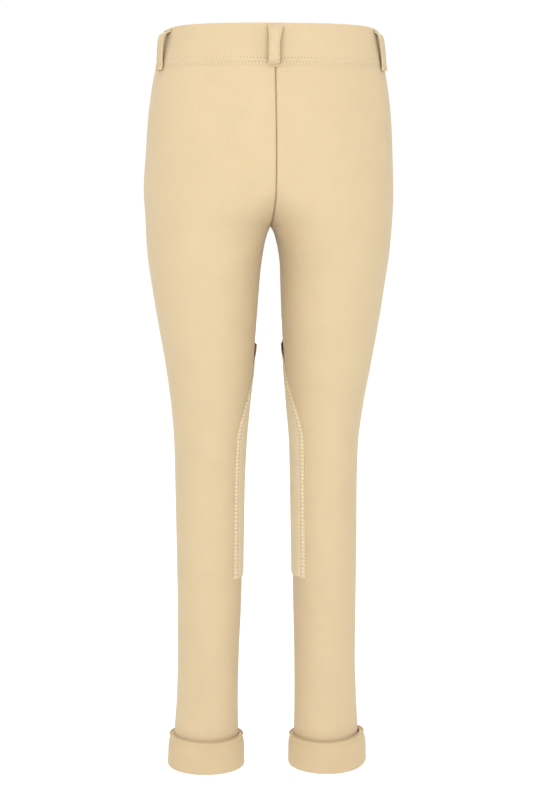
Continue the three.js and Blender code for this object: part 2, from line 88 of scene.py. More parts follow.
# Creases: across is a share of the panel's width from the outer seam, tilt is in degrees from level and rises
# towards the inner edge, and length, width and depth are in millimetres.
CREASES = [
    {"side": -1, "half": -1, "across": 0.8, "z": -268, "length": 38, "width": 9, "depth": 0.9, "tilt": 28},
    {"side": 1, "half": -1, "across": 0.82, "z": -262, "length": 34, "width": 8, "depth": 0.8, "tilt": 33},
    {"side": -1, "half": -1, "across": 0.72, "z": -318, "length": 46, "width": 12, "depth": 0.6, "tilt": 24},
    {"side": -1, "half": -1, "across": 0.55, "z": -506, "length": 30, "width": 8, "depth": 0.6, "tilt": -9},
    {"side": 1, "half": -1, "across": 0.45, "z": -498, "length": 34, "width": 7, "depth": 0.55, "tilt": 7},
    {"side": 1, "half": -1, "across": 0.6, "z": -527, "length": 24, "width": 7, "depth": 0.45, "tilt": -12},
    {"side": -1, "half": -1, "across": 0.4, "z": -872, "length": 26, "width": 8, "depth": 0.6, "tilt": 10},
    {"side": 1, "half": -1, "across": 0.62, "z": -866, "length": 24, "width": 9, "depth": 0.6, "tilt": -8},
    {"side": -1, "half": 1, "across": 0.84, "z": -205, "length": 40, "width": 8, "depth": 1.1, "tilt": -30},
    {"side": 1, "half": 1, "across": 0.85, "z": -208, "length": 44, "width": 8, "depth": 1.1, "tilt": -34},
    {"side": -1, "half": 1, "across": 0.8, "z": -246, "length": 36, "width": 9, "depth": 0.9, "tilt": 20},
    {"side": 1, "half": 1, "across": 0.78, "z": -252, "length": 40, "width": 10, "depth": 0.8, "tilt": 24},
    {"side": -1, "half": 1, "across": 0.5, "z": -560, "length": 32, "width": 10, "depth": 0.6, "tilt": 6},
    {"side": 1, "half": 1, "across": 0.48, "z": -575, "length": 28, "width": 9, "depth": 0.6, "tilt": -10},
    {"side": -1, "half": 1, "across": 0.5, "z": -864, "length": 30, "width": 9, "depth": 0.9, "tilt": -6},
    {"side": 1, "half": 1, "across": 0.46, "z": -858, "length": 32, "width": 9, "depth": 0.9, "tilt": 8},
    {"side": 1, "half": 1, "across": 0.5, "z": -884, "length": 26, "width": 7, "depth": 0.7, "tilt": -4},
]
SEAT_SEAM_ROLL = 1.1 * MM
SEAT_SEAM_CHANNEL = 1.8 * MM
LEG_SEAM_ROLL = 0.45 * MM
SEAM_ROLL_WIDTH = 1.5 * MM
WALE_PITCH = 2.6 * MM  # between two wales of the twill, across the leg
WALE_SLOPE = 0.25  # how far a wale leans for each unit down
BEIGE = 0xBDAA89


def power(value, exponent):
    """The size of a value raised to an exponent, with the value's own sign."""
    return np.sign(value) * np.abs(value) ** exponent


def smooth(value):
    """0 up to 0, 1 from 1 on, and between them three times the square less twice the cube."""
    value = np.clip(value, 0, 1)
    return value * value * (3 - 2 * value)


def section_value(column, z):
    """One column of SECTIONS at heights z: a cubic through its rows, whose slope at a row is the harmonic mean of
    the slopes to both sides, or level where they differ in sign."""
    values = SECTIONS[:, SECTION_COLUMNS.index(column)]
    kept = ~np.isnan(values)
    heights = SECTIONS[kept, 0][::-1]
    values = values[kept][::-1]
    slopes = np.diff(values) / np.diff(heights)
    product = slopes[:-1] * slopes[1:]
    total = np.where(product > 0, slopes[:-1] + slopes[1:], 1)
    tangents = np.concatenate([slopes[:1], np.where(product > 0, 2 * product / total, 0), slopes[-1:]])
    i = np.clip(np.searchsorted(heights, z) - 1, 0, len(heights) - 2)
    step = heights[i + 1] - heights[i]
    s = (z - heights[i]) / step
    return (
        (2 * s**3 - 3 * s**2 + 1) * values[i]
        + (s**3 - 2 * s**2 + s) * step * tangents[i]
        + (3 * s**2 - 2 * s**3) * values[i + 1]
        + (s**3 - s**2) * step * tangents[i + 1]
    )


def ring_at(side, half, z):
    """The ring of one leg at heights z in its back or front half: centre, half width, middle, depth and roundness.
    Over the crotch the ring widens past the centre plane until it is the ring of the hips."""
    name = "left" if side < 0 else "right"
    back = section_value("back", z)
    front = section_value("front", z)
    outer = section_value(name + "_outer", z)
    curve = SEAT_CURVE if half < 0 else FRONT_CURVE
    s = np.clip((z - CROTCH) / curve, 0, 1)
    past = outer * smooth(s) + CROTCH_SPREAD * curve * (s**3 - 2 * s**2 + s)
    inner = np.where(z < CROTCH, section_value(name + "_inner", np.minimum(z, CROTCH)), -past)
    middle = (back + front) / 2
    depth = middle - back if half < 0 else front - middle
    roundness = 1 + (HIP_ROUNDNESS - 1) * smooth((z - CROTCH + THIGH_EASE) / (curve + THIGH_EASE))
    return (outer + inner) / 2, (outer - inner) / 2, middle, depth, roundness


def panel_points(side, half, t, z):
    """Points of a panel: t runs from the outer seam (0) to the seat seam or inseam (1) round the leg's ring, x goes
    with the cosine and y with the sine of the angle, and over the crotch the seat seam cuts the ring short."""
    centre, width, middle, depth, roundness = ring_at(side, half, z)
    share = np.clip(np.maximum(0, centre) / width, 0, 1)
    end = np.where(z > CROTCH, np.arccos(-(share ** (1 / roundness))), np.pi)
    cut = 1 - end / np.pi
    angle = np.pi * (t - cut * t ** (1 + SEAM_CROWDING * (1 - 2 * cut) ** 2))
    x = side * (centre + width * power(np.cos(angle), roundness))
    y = middle + half * depth * power(np.sin(angle), roundness)
    return np.stack(np.broadcast_arrays(x, y, z), axis=-1)


def grid_normals(points, outwards):
    """Unit normals of a grid of points: the cross product of its two directions, turned to face outwards."""
    n = np.cross(np.gradient(points, axis=1), np.gradient(points, axis=0))
    n /= np.maximum(np.linalg.norm(n, axis=-1, keepdims=True), 1e-12)
    return n * np.where(np.sum(n * outwards, axis=-1, keepdims=True) < 0, -1, 1)


def arc_lengths(points):
    """How far along its row each point of a grid lies."""
    steps = np.linalg.norm(np.diff(points, axis=1), axis=-1)
    return np.concatenate([np.zeros((len(points), 1)), np.cumsum(steps, axis=1)], axis=1)


def crease_relief(side, half, arc, z):
    """Height of the creases: each is a trough that falls off as a bell curve along and across itself, with a lower
    ridge beside it."""
    relief = np.zeros_like(arc)
    for crease in CREASES:
        if crease["side"] != side or crease["half"] != half:
            continue
        across = arc - crease["across"] * arc[:, -1:]
        up = z - crease["z"] * MM
        tilt = math.radians(crease["tilt"])
        along = (across * math.cos(tilt) + up * math.sin(tilt)) / (crease["length"] * MM)
        off = (up * math.cos(tilt) - across * math.sin(tilt)) / (crease["width"] * MM)
        trough = np.exp(-(off**2)) - 0.45 * np.exp(-((off - 1.7) ** 2))
        relief -= crease["depth"] * MM * np.exp(-(along**2)) * trough
    return relief


def grid_faces(rows, columns, first=0, closed=False):
    """Quads between the points of a grid, numbered row by row from first. A closed grid joins its last column to its
    first."""
    r, c = np.meshgrid(np.arange(rows - 1), np.arange(columns if closed else columns - 1), indexing="ij")
    following = (c + 1) % columns
    corners = [r * columns + c, (r + 1) * columns + c, (r + 1) * columns + following, r * columns + following]
    return first + np.stack(corners, axis=-1).reshape(-1, 4)


def wall_faces(rows, columns):
    """Quads of a closed wall: an outer grid, an inner grid that faces the other way, and the four edges."""
    count = rows * columns
    outer = grid_faces(rows, columns)
    inner = grid_faces(rows, columns, count)[:, ::-1]
    index = np.arange(count).reshape(rows, columns)
    rim = np.concatenate([index[0, :-1], index[:-1, -1], index[-1, :0:-1], index[:0:-1, 0]])
    following = np.roll(rim, -1)
    edges = np.stack([rim, following, following + count, rim + count], axis=-1)
    return np.concatenate([outer, inner, edges])


def facing_out(points, faces):
    """The faces, turned round if the volume that they close comes out negative."""
    a, b, c, d = (points[faces[:, k]] for k in range(4))
    volume = np.sum(a * np.cross(b, c)) + np.sum(a * np.cross(c, d))
    return faces[:, ::-1] if volume < 0 else faces


def add_piece(name, points, faces, material, slot, uv=None, replaces=(), sharp=50):
    """One object from points and faces, with its material and its UV map, that rides on the garment."""
    mesh = bpy.data.meshes.new(name)
    mesh.from_pydata(points.tolist(), [], faces.tolist())
    if uv is not None:
        corners = np.empty(len(mesh.loops), dtype=np.int32)
        mesh.loops.foreach_get("vertex_index", corners)
        layer = mesh.uv_layers.new(name="cloth")
        layer.uv.foreach_set("vector", uv[corners].astype(np.float32).ravel())
    mesh.materials.append(material)
    mesh.shade_smooth()
    mesh.set_sharp_from_angle(angle=math.radians(sharp))
    piece = bpy.data.objects.new(name, mesh)
    bpy.context.scene.collection.objects.link(piece)
    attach(piece, "root")
    if replaces:
        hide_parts(*replaces)
    return piece


def linear_colour(code, shade=1.0):
    """A colour code as the linear red, green, blue and alpha that a shader takes, made lighter or darker."""
    parts = [((code >> shift) & 255) / 255 for shift in (16, 8, 0)]
    return [shade * (p / 12.92 if p <= 0.04045 else ((p + 0.055) / 1.055) ** 2.4) for p in parts] + [1.0]


def twill_material(name, colour, wale_depth, wale_contrast):
    """Stretch twill: steep wales that are a cosine of the UV across the leg plus its lean down the leg, with a finer
    groove in each, over the noise of the fibres and a broad mottling of the dye."""
    material = bpy.data.materials.new(name)
    material.use_nodes = True
    tree = material.node_tree
    shader = tree.nodes["Principled BSDF"]

    def compute(operation, first, second=0.0, third=0.0):
        node = tree.nodes.new("ShaderNodeMath")
        node.operation = operation
        for socket, value in zip(node.inputs, (first, second, third)):
            if isinstance(value, bpy.types.NodeSocket):
                tree.links.new(value, socket)
            else:
                socket.default_value = value
        return node.outputs[0]

    def noise(scale, detail):
        node = tree.nodes.new("ShaderNodeTexNoise")
        node.inputs["Scale"].default_value = scale
        node.inputs["Detail"].default_value = detail
        tree.links.new(place.outputs["Object"], node.inputs["Vector"])
        return node.outputs["Fac"]

    place = tree.nodes.new("ShaderNodeTexCoord")
    cloth_map = tree.nodes.new("ShaderNodeUVMap")
    cloth_map.uv_map = "cloth"
    split = tree.nodes.new("ShaderNodeSeparateXYZ")
    tree.links.new(cloth_map.outputs["UV"], split.inputs[0])
    turn = 2 * math.pi / WALE_PITCH
    phase = compute("MULTIPLY", split.outputs["X"], turn)
    phase = compute("MULTIPLY_ADD", split.outputs["Y"], turn * WALE_SLOPE, phase)
    wale = compute("COSINE", phase)
    groove = compute("COSINE", compute("MULTIPLY_ADD", phase, 2.0, 0.9))
    rib = compute("MULTIPLY_ADD", groove, 0.35, wale)
    fibre = noise(1300, 3)
    mottle = noise(26, 3)

    shade = compute("MULTIPLY_ADD", rib, wale_contrast, 0.5)
    shade = compute("MULTIPLY_ADD", compute("SUBTRACT", fibre, 0.5), 0.5, shade)
    shade = compute("MULTIPLY_ADD", compute("SUBTRACT", mottle, 0.5), 0.45, shade)
    blend = tree.nodes.new("ShaderNodeMix")
    blend.data_type = "RGBA"
    tree.links.new(shade, blend.inputs["Factor"])
    blend.inputs["A"].default_value = linear_colour(colour, 0.9)
    blend.inputs["B"].default_value = linear_colour(colour, 1.1)
    tree.links.new(blend.outputs["Result"], shader.inputs["Base Color"])

    height = compute("MULTIPLY_ADD", fibre, 0.6, rib)
    bump = tree.nodes.new("ShaderNodeBump")
    bump.inputs["Strength"].default_value = 0.45
    bump.inputs["Distance"].default_value = wale_depth
    tree.links.new(height, bump.inputs["Height"])
    tree.links.new(bump.outputs["Normal"], shader.inputs["Normal"])
    tree.links.new(compute("MULTIPLY_ADD", fibre, 0.16, 0.76), shader.inputs["Roughness"])
    shader.inputs["Specular IOR Level"].default_value = 0.22
    shader.inputs["Subsurface Weight"].default_value = 0.25
    shader.inputs["Subsurface Radius"].default_value = (1.0, 0.55, 0.3)
    shader.inputs["Subsurface Scale"].default_value = 0.004
    shader.inputs["Sheen Weight"].default_value = 0.08
    shader.inputs["Sheen Roughness"].default_value = 0.45
    return material


def band_pull(x):
    """How far the centre back loop drags the waist seam down: a bell curve of 3 mm round the centre back."""
    return 3 * MM * np.exp(-((x / (11 * MM)) ** 2))


def panel_grid(side, half):
    """The outer and inner grids of a panel, and its UV: x the arc from the middle of the panel, y the height."""
    edge = np.array([0, 0.003, 0.007, 0.013, 0.022])
    t = np.concatenate([edge, np.linspace(0.035, 0.965, 61), 1 - edge[::-1]])[None, :]
    top = BAND_SEAM - SEAM_GAP
    bottom = HEM + SEAM_GAP
    near = 45 * MM
    close = np.linspace(1, 0, 25) ** 2 * near
    z = np.concatenate(
        [
            np.linspace(top, CROTCH + near, 52)[:-1],
            CROTCH + close,
            CROTCH - close[::-1][1:],
            np.linspace(CROTCH - near, bottom, 168)[1:],
        ]
    )[:, None]
    outer = panel_points(side, half, t, z)
    if half < 0:
        drag = band_pull(outer[..., 0]) + 0.8 * MM * np.exp(-((outer[..., 0] / (13 * MM)) ** 2))
        outer[..., 2] -= drag * smooth((z - top + 40 * MM) / (40 * MM))
    _, _, middle, _, _ = ring_at(side, half, z)
    centre, _, _, _, _ = ring_at(side, half, z)
    away = outer - np.stack(np.broadcast_arrays(side * np.maximum(centre, 20 * MM), middle, z), axis=-1)
    normals = grid_normals(outer, away)
    arc = arc_lengths(outer)
    to_inner = arc[:, -1:] - arc
    facing_leg = np.clip(-side * normals[..., 0], 0, 1)
    inner_roll = np.where(z > CROTCH, SEAT_SEAM_ROLL * (1 - facing_leg**2), LEG_SEAM_ROLL)
    roll = LEG_SEAM_ROLL * np.exp(-((arc / SEAM_ROLL_WIDTH) ** 2))
    roll += inner_roll * np.exp(-((to_inner / SEAM_ROLL_WIDTH) ** 2))
    channel = np.where((z > CROTCH) & (to_inner < 0.5 * MM), SEAT_SEAM_CHANNEL, 0)
    relief = crease_relief(side, half, arc, z) - roll - channel
    under = outer - (CLOTH + channel)[..., None] * normals
    outer = outer + relief[..., None] * normals
    for grid in (outer, under):
        grid[..., 0] = side * np.maximum(side * grid[..., 0], SEAM_HALF_GAP)
        grid[..., 1] = middle + half * np.maximum(half * (grid[..., 1] - middle), SEAM_HALF_GAP)
    outer[:, -1, 0] = np.where(z[:, 0] > CROTCH, side * SEAM_HALF_GAP, outer[:, -1, 0])
    uv = np.stack([arc - arc[:, -1:] / 2, np.broadcast_to(z, arc.shape)], axis=-1)
    return outer, under, uv


def add_wall(name, outer, inner, uv, material, slot, replaces=(), sharp=50):
    """A piece of cloth from its outer and inner grids."""
    points = np.concatenate([outer.reshape(-1, 3), inner.reshape(-1, 3)])
    faces = facing_out(points, wall_faces(*outer.shape[:2]))
    both = np.concatenate([uv.reshape(-1, 2), uv.reshape(-1, 2)])
    return add_piece(name, points, faces, material, slot, both, replaces, sharp)


twill = twill_material("breeches_twill", BEIGE, 0.11 * MM, 0.11)
PANEL_CUT = {-1: (0.262, 0.915, 0.172), 1: (0.262, 0.915, 0.171)}
for side, side_name in ((-1, "left"), (1, "right")):
    for half, half_name in ((-1, "back"), (1, "front")):
        name = f"{half_name}_{side_name}"
        panel = add_wall(f"{name}_panel", *panel_grid(side, half), twill, "twill", [name])
        width, length, area = PANEL_CUT[half]

# Sewing thread: polyester in the colour of the cloth. Each stitch is a short thread that rises from its needle hole,
# lies on the cloth and goes down again, and each hole is a small dimple coloured dark brown as painted shade.
THREAD_RADIUS = 0.24 * MM
HOLE_RADIUS = 0.42 * MM


def tube_faces(rows, columns):
    """Quads of a closed tube: a grid that joins round, and a flat cap of quads at each end."""
    k = np.arange(columns // 2 - 1)
    cap = np.stack([k, k + 1, columns - 2 - k, columns - 1 - k], axis=-1)
    return np.concatenate([grid_faces(rows, columns, closed=True), cap, cap[:, ::-1] + (rows - 1) * columns])


def repeated(points):
    """Points and outward faces of many tubes of the same make, given as tube, row, column and coordinate."""
    count, rows, columns = points.shape[:3]
    first = (np.arange(count) * rows * columns)[:, None, None]
    points = points.reshape(-1, 3)
    return points, facing_out(points, (tube_faces(rows, columns)[None] + first).reshape(-1, 4))


def stitch_mesh(starts, ends, ups, radius, rise):
    """Stitches between two lists of needle holes: each is a row of small ellipses from hole to hole, whose middle
    line is a parabola that lifts off the cloth by rise and whose size falls to a point at both ends."""
    along_steps = np.linspace(-1, 1, 7)
    round_steps = np.linspace(0, 2 * np.pi, 6, endpoint=False)
    size = radius * np.sqrt(np.maximum(1 - along_steps**4, 0.02))
    lift = rise * (1 - along_steps**2) - radius * 0.6
    along = (ends - starts) / 2
    length = np.linalg.norm(along, axis=-1, keepdims=True)
    across = np.cross(ups, along / length)
    middle = (starts + ends) / 2
    points = (
        middle[:, None, None]
        + along[:, None, None] * along_steps[:, None, None]
        + ups[:, None, None] * (lift[:, None] + size[:, None] * np.sin(round_steps))[..., None]
        + across[:, None, None] * (1.25 * size[:, None] * np.cos(round_steps))[..., None]
    )
    return repeated(points)


def hole_mesh(places, ups, alongs, radius):
    """Needle holes: eight-sided dimples in the cloth, each of four rings, that take a dark material as painted shade.
    The radius is one or one for each.
    """
    angles = np.linspace(0, 2 * np.pi, 8, endpoint=False)
    across = np.cross(ups, alongs)
    rings = []
    radius = np.broadcast_to(radius, len(places))[:, None, None]
    for share, lift in ((0.4, -0.2 * MM), (1.0, 0.03 * MM), (0.75, 0.14 * MM), (0.2, 0.08 * MM)):
        ring = places[:, None] + ups[:, None] * lift
        ring = ring + share * radius * (
            alongs[:, None] * np.cos(angles)[:, None] + across[:, None] * np.sin(angles)[:, None]
        )
        rings.append(ring)
    return repeated(np.stack(rings, axis=1))


def join_meshes(*meshes):
    """Several lists of points and faces as one."""
    sizes = np.cumsum([0] + [len(points) for points, _ in meshes])
    points = np.concatenate([points for points, _ in meshes])
    faces = np.concatenate([faces + first for (_, faces), first in zip(meshes, sizes)])
    return points, faces


def thread_material(name, colour, roughness):
    """Spun thread: its colour varies a little with the noise of the plies."""
    material = bpy.data.materials.new(name)
    material.use_nodes = True
    tree = material.node_tree
    shader = tree.nodes["Principled BSDF"]
    place = tree.nodes.new("ShaderNodeTexCoord")
    plies = tree.nodes.new("ShaderNodeTexNoise")
    plies.inputs["Scale"].default_value = 2400
    tree.links.new(place.outputs["Object"], plies.inputs["Vector"])
    blend = tree.nodes.new("ShaderNodeMix")
    blend.data_type = "RGBA"
    tree.links.new(plies.outputs["Fac"], blend.inputs["Factor"])
    blend.inputs["A"].default_value = linear_colour(colour, 0.85)
    blend.inputs["B"].default_value = linear_colour(colour, 1.15)
    tree.links.new(blend.outputs["Result"], shader.inputs["Base Color"])
    shader.inputs["Roughness"].default_value = roughness
    shader.inputs["Sheen Weight"].default_value = 0.2
    return material


thread = thread_material("beige_thread", 0xCBB998, 0.6)
# Dark brown for the needle holes: painted shade in each hole.
needle_hole_shade = thread_material("needle_hole_shadow", 0x846842, 0.9)

# Seat seam: the topstitching shows as a row of small needle holes in the seam's channel, coloured dark brown as painted
# shade.
seam_steps = np.linspace(BAND_SEAM - 5 * MM, CROTCH + 38 * MM, 42)
seam_spots = np.stack([0 * seam_steps, section_value("back", seam_steps) + 0.9 * MM, seam_steps], axis=-1)
seam_spots[:, 0] += 0.3 * MM * (-1) ** np.arange(len(seam_steps))
seam_ups = np.tile([0.0, -1.0, 0.0], (len(seam_steps), 1))
seam_alongs = np.tile([0.0, 0.0, 1.0], (len(seam_steps), 1))
add_piece("seat_seam_needle_holes", *hole_mesh(seam_spots, seam_ups, seam_alongs, 0.5 * MM), needle_hole_shade, "twill")

# Waistband: a straight strip of the same twill, folded double along its top edge and closed right over left at the
# front. Two rows of needle stitching run along its lower edge, which the centre back loop drags down a little.
BAND_CLOTH = 2.6 * MM
BAND_PROUD = 0.6 * MM
BAND_TOP = 25 * MM
BAND_BACK_RISE = 2 * MM
BAND_SIDE_DIP = 3 * MM
BAND_LIP = 0.6 * MM  # the outer layer of the band comes down over the top of the panels by this much
LAP_END_X = -6 * MM
UNDERLAP_END_X = 26 * MM
LAP_RISE_X = 46 * MM
STITCH_ROWS = (-16 * MM, -21.2 * MM)
STITCH_PITCH = 4.1 * MM


def waist_points(turn, z, out):
    """Points round the waist at turns in degrees from the centre back, positive to the right: x goes with the sine
    and y with the cosine, both raised to the hips' roundness, then moved out along the level normal."""
    angle = np.radians(turn)
    width = np.where(np.sin(angle) < 0, section_value("left_outer", z), section_value("right_outer", z))
    back = section_value("back", z)
    front = section_value("front", z)
    x = width * power(np.sin(angle), HIP_ROUNDNESS)
    y = (front - back) / 2 * power(-np.cos(angle), HIP_ROUNDNESS)
    squareness = 2 / HIP_ROUNDNESS - 1
    nx = power(x / width, squareness) / width
    ny = power(2 * y / (front - back), squareness) * 2 / (front - back)
    size = np.hypot(nx, ny)
    x = x + out * nx / size
    y = (back + front) / 2 + y + out * ny / size
    return np.stack(np.broadcast_arrays(x, y, z), axis=-1)


def front_turn(x, z=0.0):
    """The turn at which the front of the waist passes a given x, at height z."""
    width = section_value("left_outer", z) if x < 0 else section_value("right_outer", z)
    return 180 - np.degrees(np.arcsin(power(x / width, 1 / HIP_ROUNDNESS)))


def lap_lift(turn):
    """How far the upper end of the waistband is lifted over the under end."""
    start = front_turn(LAP_RISE_X)
    full = front_turn(UNDERLAP_END_X + 3 * MM)
    return (BAND_CLOTH + SEAM_GAP) * smooth((turn - start) / (full - start))


def band_out(turn, z):
    """How far the band's outside stands out of the panels: flush at its lower edge, proud above the stitching, with a
    soft channel along each row of stitches."""
    x = waist_points(turn, np.zeros(1), 0)[..., 0]
    near_loop = np.exp(-((x / (15 * MM)) ** 2)) * (np.cos(np.radians(turn)) > 0)
    edge = 0.12 * MM + 1.2 * MM * near_loop
    out = edge + (BAND_PROUD - edge) * smooth((z - BAND_SEAM) / (9 * MM))
    for row in STITCH_ROWS:
        out = out - 0.22 * MM * np.exp(-(((z - row) / (0.9 * MM)) ** 2))
    return out + lap_lift(turn)


def band_drag(turn, z):
    """How far the band is dragged down: most at the lower edge of the centre back."""
    x = waist_points(turn, np.zeros(1), 0)[..., 0]
    back = np.cos(np.radians(turn)) > 0
    return band_pull(x) * back * smooth((BAND_TOP - z) / (BAND_TOP - BAND_SEAM))


band_first = front_turn(UNDERLAP_END_X) - 360
band_last = front_turn(LAP_END_X)
band_turns = np.linspace(band_first, band_last, 420)[:, None]
band_rise = BAND_BACK_RISE * np.maximum(0, np.cos(np.radians(band_turns)))
band_rise = band_rise - BAND_SIDE_DIP * np.exp(-(((np.abs(band_turns) - 84) / 20) ** 2))
fold = np.linspace(0, np.pi, 9)
face_heights = np.sort(
    np.concatenate([np.linspace(0, 1, 22), *[(row - BAND_SEAM) / (BAND_TOP - BAND_SEAM) + np.linspace(-0.03, 0.03, 7)
                                             for row in STITCH_ROWS]])
)
face_z = BAND_SEAM - BAND_LIP + (BAND_TOP - BAND_CLOTH / 2 - BAND_SEAM + BAND_LIP) * face_heights[None, :]
outer_face = (face_z, band_out(band_turns, face_z))
top_fold = (
    BAND_TOP - BAND_CLOTH / 2 * (1 - np.sin(fold))[None, :],
    BAND_PROUD - BAND_CLOTH / 2 * (1 - np.cos(fold))[None, :] + lap_lift(band_turns),
)
inner_z = np.linspace(BAND_TOP - BAND_CLOTH / 2, BAND_SEAM, 9)[None, 1:]
inner_face = (inner_z, BAND_PROUD - BAND_CLOTH + lap_lift(band_turns))
under_lip = (np.full((1, 1), BAND_SEAM), 0.08 * MM + lap_lift(band_turns))
band_heights = np.concatenate(
    [np.broadcast_to(part[0], (420, part[0].shape[1])) for part in (outer_face, top_fold, inner_face, under_lip)], axis=1
)
band_outs = np.concatenate(
    [np.broadcast_to(part[1], (420, part[0].shape[1])) for part in (outer_face, top_fold, inner_face, under_lip)], axis=1
)
lifted = band_heights + band_rise * smooth((band_heights - BAND_SEAM) / (BAND_TOP - BAND_SEAM))
band_grid = waist_points(band_turns, lifted, band_outs)
band_grid[..., 2] -= band_drag(band_turns, band_heights)
band_run = arc_lengths(waist_points(band_turns.T, np.zeros((1, 1)), 0.0))[0][:, None]
section_run = arc_lengths(np.stack([band_heights, band_outs], axis=-1))


def add_strip(name, grid, run, section, material, slot, replaces=(), sharp=50):
    """A strip whose closed section is carried along a path: each row of the grid is a section."""
    faces = tube_faces(*grid.shape[:2])
    points = grid.reshape(-1, 3)
    uv = np.stack([np.broadcast_to(run, section.shape), section], axis=-1).reshape(-1, 2)
    return add_piece(name, points, facing_out(points, faces), material, slot, uv, replaces, sharp)


waistband = add_strip(
    "waistband_strip", band_grid, band_run, section_run[:, :1] - section_run, twill, "twill", ["waistband"]
)


def band_stitch_points(turns, row):
    """Needle holes along one row of the band, with the outward normal at each."""
    z = np.full(len(turns), row)
    places = waist_points(turns, z, band_out(turns, z))
    places[:, 2] -= band_drag(turns, z)
    normals = waist_points(turns, z, np.full(len(turns), MM)) - waist_points(turns, z, np.zeros(len(turns)))
    return places, normals / np.linalg.norm(normals, axis=-1, keepdims=True)


def row_meshes(places, normals, gap, radius=THREAD_RADIUS, rise=0.3 * MM, hole=HOLE_RADIUS):
    """A row of stitches from hole to hole, that leaves a gap at each hole, and the holes."""
    steps = places[1:] - places[:-1]
    alongs = steps / np.linalg.norm(steps, axis=-1, keepdims=True)
    ups = normals[:-1] + normals[1:]
    ups = ups / np.linalg.norm(ups, axis=-1, keepdims=True)
    stitches = stitch_mesh(places[:-1] + alongs * gap, places[1:] - alongs * gap, ups, radius, rise)
    return stitches, hole_mesh(places[:-1], normals[:-1], alongs, hole)


band_length = band_run[-1, 0]
stitch_count = int(band_length / STITCH_PITCH)
hole_runs = np.linspace(4 * MM, band_length - 4 * MM, stitch_count)
band_threads = []
band_holes = []
for k, row in enumerate(STITCH_ROWS):
    runs = hole_runs + k * STITCH_PITCH / 2
    turns = np.interp(runs, band_run[:, 0], band_turns[:, 0])
    places, normals = band_stitch_points(turns, row)
    # The dark holes, painted shade, are made larger near the centre back and smaller towards the sides.
    centre_back_share = np.exp(-((places[:-1, 0] / (45 * MM)) ** 2)) * (places[:-1, 1] < 0)
    threads, holes = row_meshes(places, normals, 0.45 * MM, hole=HOLE_RADIUS * (0.9 + 0.9 * centre_back_share))
    band_threads.append(threads)
    band_holes.append(holes)
add_piece("waistband_stitches", *join_meshes(*band_threads), thread, "twill")
add_piece("waistband_needle_holes", *join_meshes(*band_holes), needle_hole_shade, "twill")

# Belt loops: five strips folded to 15 mm and sewn at both ends. Each leaves the band at its top edge, bows out so
# that a belt goes behind it, and turns under at its foot. Bar tacks hold both ends, but only the top of the centre back
# loop. Turn is in degrees from the centre back, lean says how much more a loop bows over its middle than under it,
# flare and slim are shares of the width by which its top is wider and the rest narrower, and the other sizes are in
# millimetres.
LOOPS = [
    {"name": "centre_back", "turn": 0, "bow": 7.6, "lean": -0.3, "top": 24.8, "foot": -25, "flare": 0.3, "slim": 0.08, "sway": 2.2},
    {"name": "side_left", "turn": -71, "bow": 4.8, "lean": 1.7, "top": 21.5, "foot": -29.5, "flare": 0, "slim": 0, "sway": 0},
    {"name": "side_right", "turn": 70, "bow": 3.2, "lean": 1.2, "top": 21.5, "foot": -29.5, "flare": 0, "slim": 0, "sway": 0},
    {"name": "front_left", "turn": -148, "bow": 4.4, "lean": 0.6, "top": 21.5, "foot": -29.5, "flare": 0, "slim": 0, "sway": 0},
    {"name": "front_right", "turn": 148, "bow": 4.4, "lean": 0.6, "top": 21.5, "foot": -29.5, "flare": 0, "slim": 0, "sway": 0},
]
LOOP_WIDTH = 15 * MM
LOOP_CLOTH = 2.9 * MM
LOOP_SEATED = 0.07
LOOP_SQUARENESS = 4
LOOP_FOLD = 1.4
LOOP_STEPS = 90
EDGE_STITCH_PITCH = 3.4 * MM


def loop_frame(shape, v):
    """The inside of a loop down its length v from 0 to 1: points on its middle line, the direction across it and the
    direction out of it. It bows off the band as a flattened arch."""
    turn = shape["turn"]
    z = shape["top"] * MM + (shape["foot"] - shape["top"]) * MM * v
    seated = LOOP_SEATED if turn else 0.3 * LOOP_SEATED
    share = np.clip((v - seated) / (1 - 2 * seated), 0, 1)
    arch = np.sqrt(np.maximum(1 - np.abs(2 * share - 1) ** LOOP_SQUARENESS, 0))
    bow = shape["bow"] * MM * arch * (1 + shape["lean"] * (0.5 - share))
    turns = np.full_like(v, turn)
    line = waist_points(turns, z, BAND_PROUD + SEAM_GAP + bow)
    out = waist_points(np.array([float(turn)]), np.zeros(1), MM) - waist_points(np.array([float(turn)]), np.zeros(1), 0)
    out = out[0] / np.linalg.norm(out[0])
    across = np.array([-out[1], out[0], 0.0])
    line = line - across * (shape["sway"] * MM * smooth(v / 0.6))[:, None]
    rise = waist_points(turns, z + MM, 0) - waist_points(turns, z - MM, 0)
    away = np.cross(across, rise)
    away = away / np.linalg.norm(away, axis=-1, keepdims=True)
    away = away * np.sign(np.sum(away * out, axis=-1, keepdims=True))
    return line, across, away


def loop_section(edges):
    """The outline of a folded strip: a rounded flat bar, as shares of half its width and of its thickness."""
    angle = np.linspace(0, 2 * np.pi, 40, endpoint=False)
    flat = power(np.cos(angle), 0.32)
    up = 0.5 + 0.5 * power(np.sin(angle), 0.6)
    return flat * edges, up


